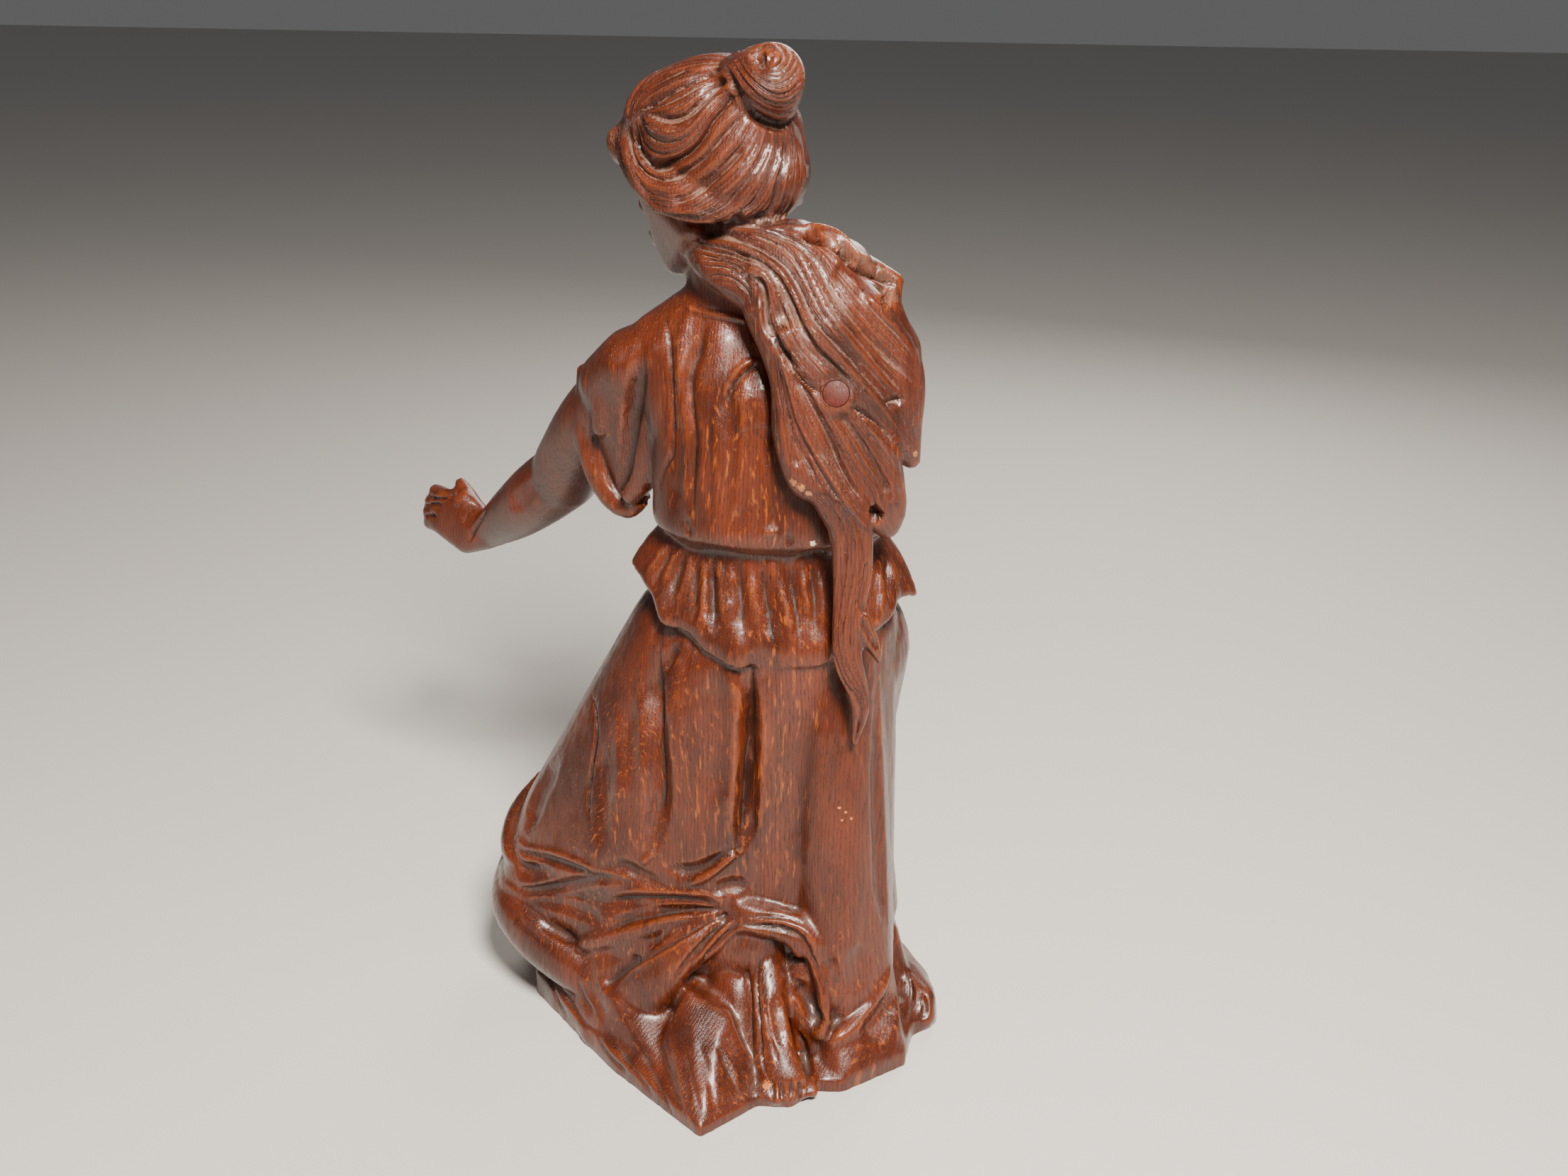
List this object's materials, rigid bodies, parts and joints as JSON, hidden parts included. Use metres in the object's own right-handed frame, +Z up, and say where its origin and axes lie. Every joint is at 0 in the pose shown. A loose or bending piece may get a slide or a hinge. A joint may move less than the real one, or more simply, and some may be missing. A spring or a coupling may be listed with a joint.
{
  "type": "carved wooden figure",
  "caption": "Carved oak figure of a kneeling woman on a rocky base, seen reaching forwards with one hand, long hair over her shoulder, for standing on a floor.",
  "frame": {"origin": "centre of the box round the object, on the floor it stands on", "axes": "+Z up, the woman faces -Y, her left hand is at +X"},
  "size_m": [0.5918, 0.5772, 0.9945],
  "materials": {
    "varnished_oak": "dark varnish, satin, worn to orange-brown on the high places",
    "plug_oak": "red-brown stain, dull satin"
  },
  "bodies": {
    "root": {"kneeling_woman": "varnished_oak", "oak_plug": "plug_oak"}
  },
  "joints": []
}
